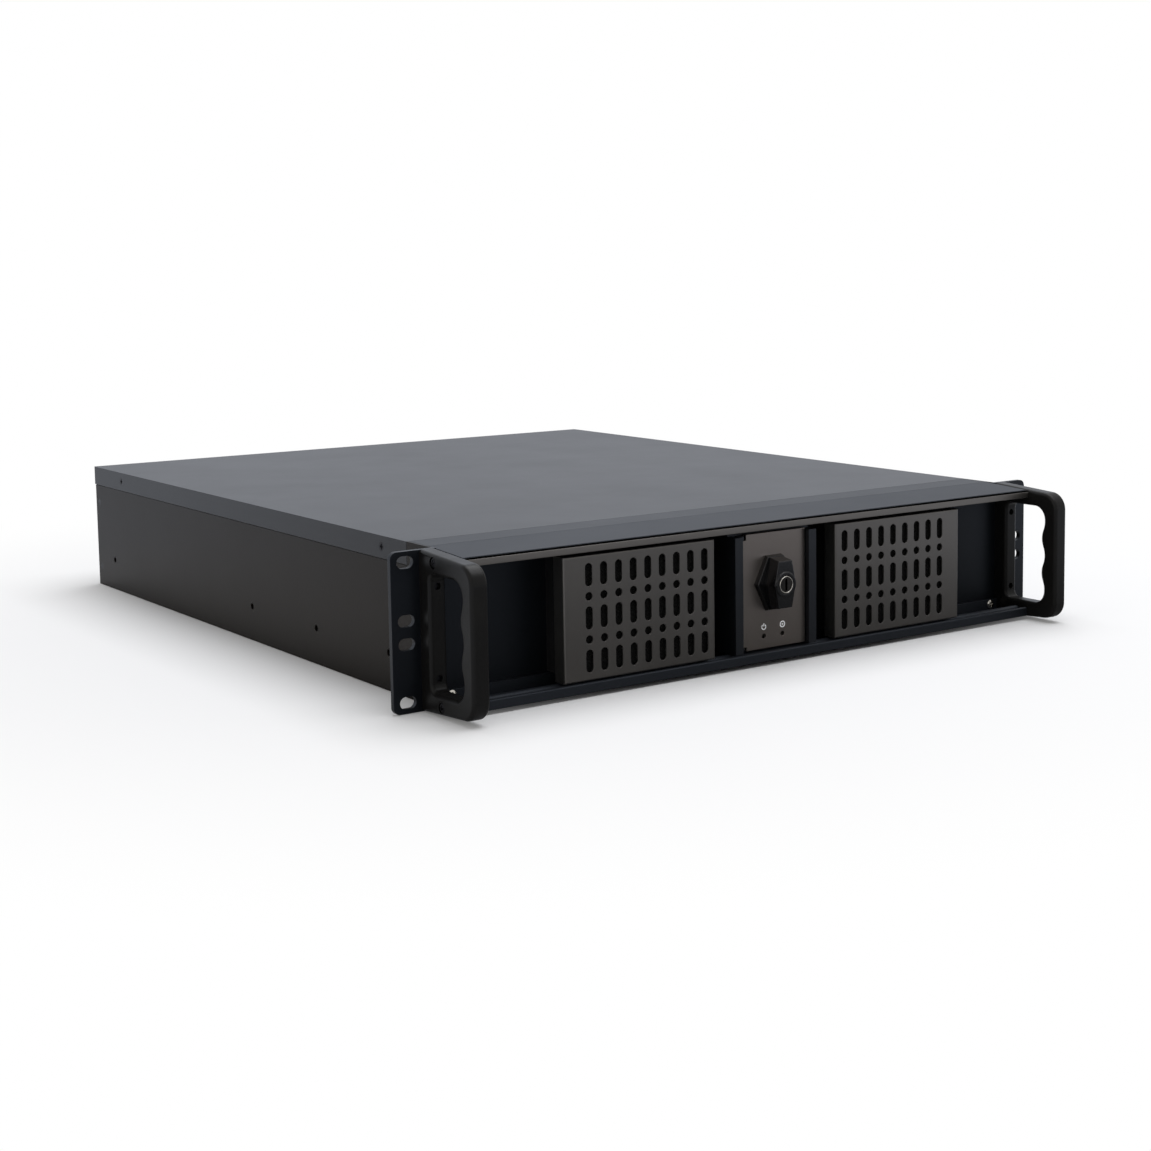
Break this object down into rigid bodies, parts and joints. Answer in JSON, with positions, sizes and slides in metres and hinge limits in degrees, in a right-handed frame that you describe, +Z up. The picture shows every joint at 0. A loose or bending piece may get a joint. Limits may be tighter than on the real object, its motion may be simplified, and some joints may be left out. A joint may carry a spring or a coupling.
{
  "type": "rackmount server case",
  "caption": "Two-unit rackmount server case with pull handles, perforated intake covers, a lockable centre door over the controls, and a screwed top cover.",
  "frame": {"origin": "bottom centre of the case's box, on the surface it stands on", "axes": "+X to the right seen from the front, +Y from the front to the rear, +Z up"},
  "size_m": [0.4826, 0.564, 0.088],
  "materials": {
    "case_paint": "fine textured powder coat",
    "bezel_paint": "satin powder coat",
    "grille_paint": "satin powder coat",
    "handle_finish": "dark anodised, satin",
    "black_plastic": "moulded, matt",
    "knob_plastic": "moulded, semi-gloss",
    "bright_metal": "polished nickel",
    "screw_steel": "zinc plated",
    "black_screw": "blackened",
    "zinc_sheet": "galvanised sheet",
    "brass": "turned",
    "foam": "open-cell foam",
    "board": "circuit board lacquer",
    "lamp_clear": "clear light pipe"
  },
  "bodies": {
    "case": {"front_plate": "bezel_paint", "case_body": "case_paint", "right_fan_bracket": "case_paint", "left_fan_bracket": "case_paint", "front_bridge": "bezel_paint", "top_cover": "case_paint", "cover_screws": "black_screw", "slide_inserts": "screw_steel", "top_rail": "bezel_paint", "bottom_rail": "bezel_paint", "rail_screws": "bright_metal", "right_handle": "handle_finish", "left_handle": "handle_finish", "handle_screws": "screw_steel", "handle_bolts": "black_screw", "right_grille": "grille_paint", "left_grille": "grille_paint", "right_filter_frame": "black_plastic", "left_filter_frame": "black_plastic", "right_filter": "foam", "left_filter": "foam", "centre_housing": "bezel_paint", "door_pins": "screw_steel", "control_bracket": "bezel_paint", "control_board": "board", "usb_sockets": "bright_metal", "power_lamp": "lamp_clear", "drive_lamp": "lamp_clear", "right_fan_frame": "black_plastic", "left_fan_frame": "black_plastic", "fan_screws": "screw_steel", "right_drive_cage": "zinc_sheet", "left_drive_cage": "zinc_sheet", "standoffs": "brass", "cover_bar": "zinc_sheet", "rear_wall": "case_paint", "rear_rivets": "black_screw", "slot_ledge": "zinc_sheet", "slot_blanks": "zinc_sheet", "slot_screws": "screw_steel", "supply_bracket": "zinc_sheet"},
    "door": {"centre_door": "bezel_paint", "lock_rosette": "knob_plastic", "lock_nut": "screw_steel"},
    "knob": {"lock_knob": "knob_plastic", "lock_cam": "screw_steel"},
    "cylinder": {"key_cylinder": "bright_metal"},
    "power": {"power_button": "black_plastic"},
    "reset": {"reset_button": "black_plastic"},
    "right_rotor": {"right_fan_rotor": "black_plastic"},
    "left_rotor": {"left_fan_rotor": "black_plastic"}
  },
  "joints": [
    {"name": "door_hinge", "type": "hinge", "parent": "case", "child": "door", "pos_m": [-0.0228, -0.251, 0.044], "axis": [0, 0, -1], "range_deg": [0, 90]},
    {"name": "knob_turn", "type": "hinge", "parent": "door", "child": "knob", "pos_m": [0, -0.258, 0.0485], "axis": [0, 1, 0], "range_deg": [0, 90]},
    {"name": "key_turn", "type": "hinge", "parent": "knob", "child": "cylinder", "pos_m": [0, -0.263, 0.0485], "axis": [0, 1, 0], "range_deg": [0, 90]},
    {"name": "power_press", "type": "slide", "parent": "case", "child": "power", "axis": [0, 1, 0], "range_m": [0, 0.0015], "stiffness_N_per_m": 400, "springref_m": -0.0015},
    {"name": "reset_press", "type": "slide", "parent": "case", "child": "reset", "axis": [0, 1, 0], "range_m": [0, 0.0015], "stiffness_N_per_m": 300, "springref_m": -0.0015},
    {"name": "right_fan_spin", "type": "hinge", "parent": "case", "child": "right_rotor", "pos_m": [0.09855, -0.212, 0.044], "axis": [0, 1, 0], "continuous": true},
    {"name": "left_fan_spin", "type": "hinge", "parent": "case", "child": "left_rotor", "pos_m": [-0.09855, -0.212, 0.044], "axis": [0, 1, 0], "continuous": true}
  ]
}
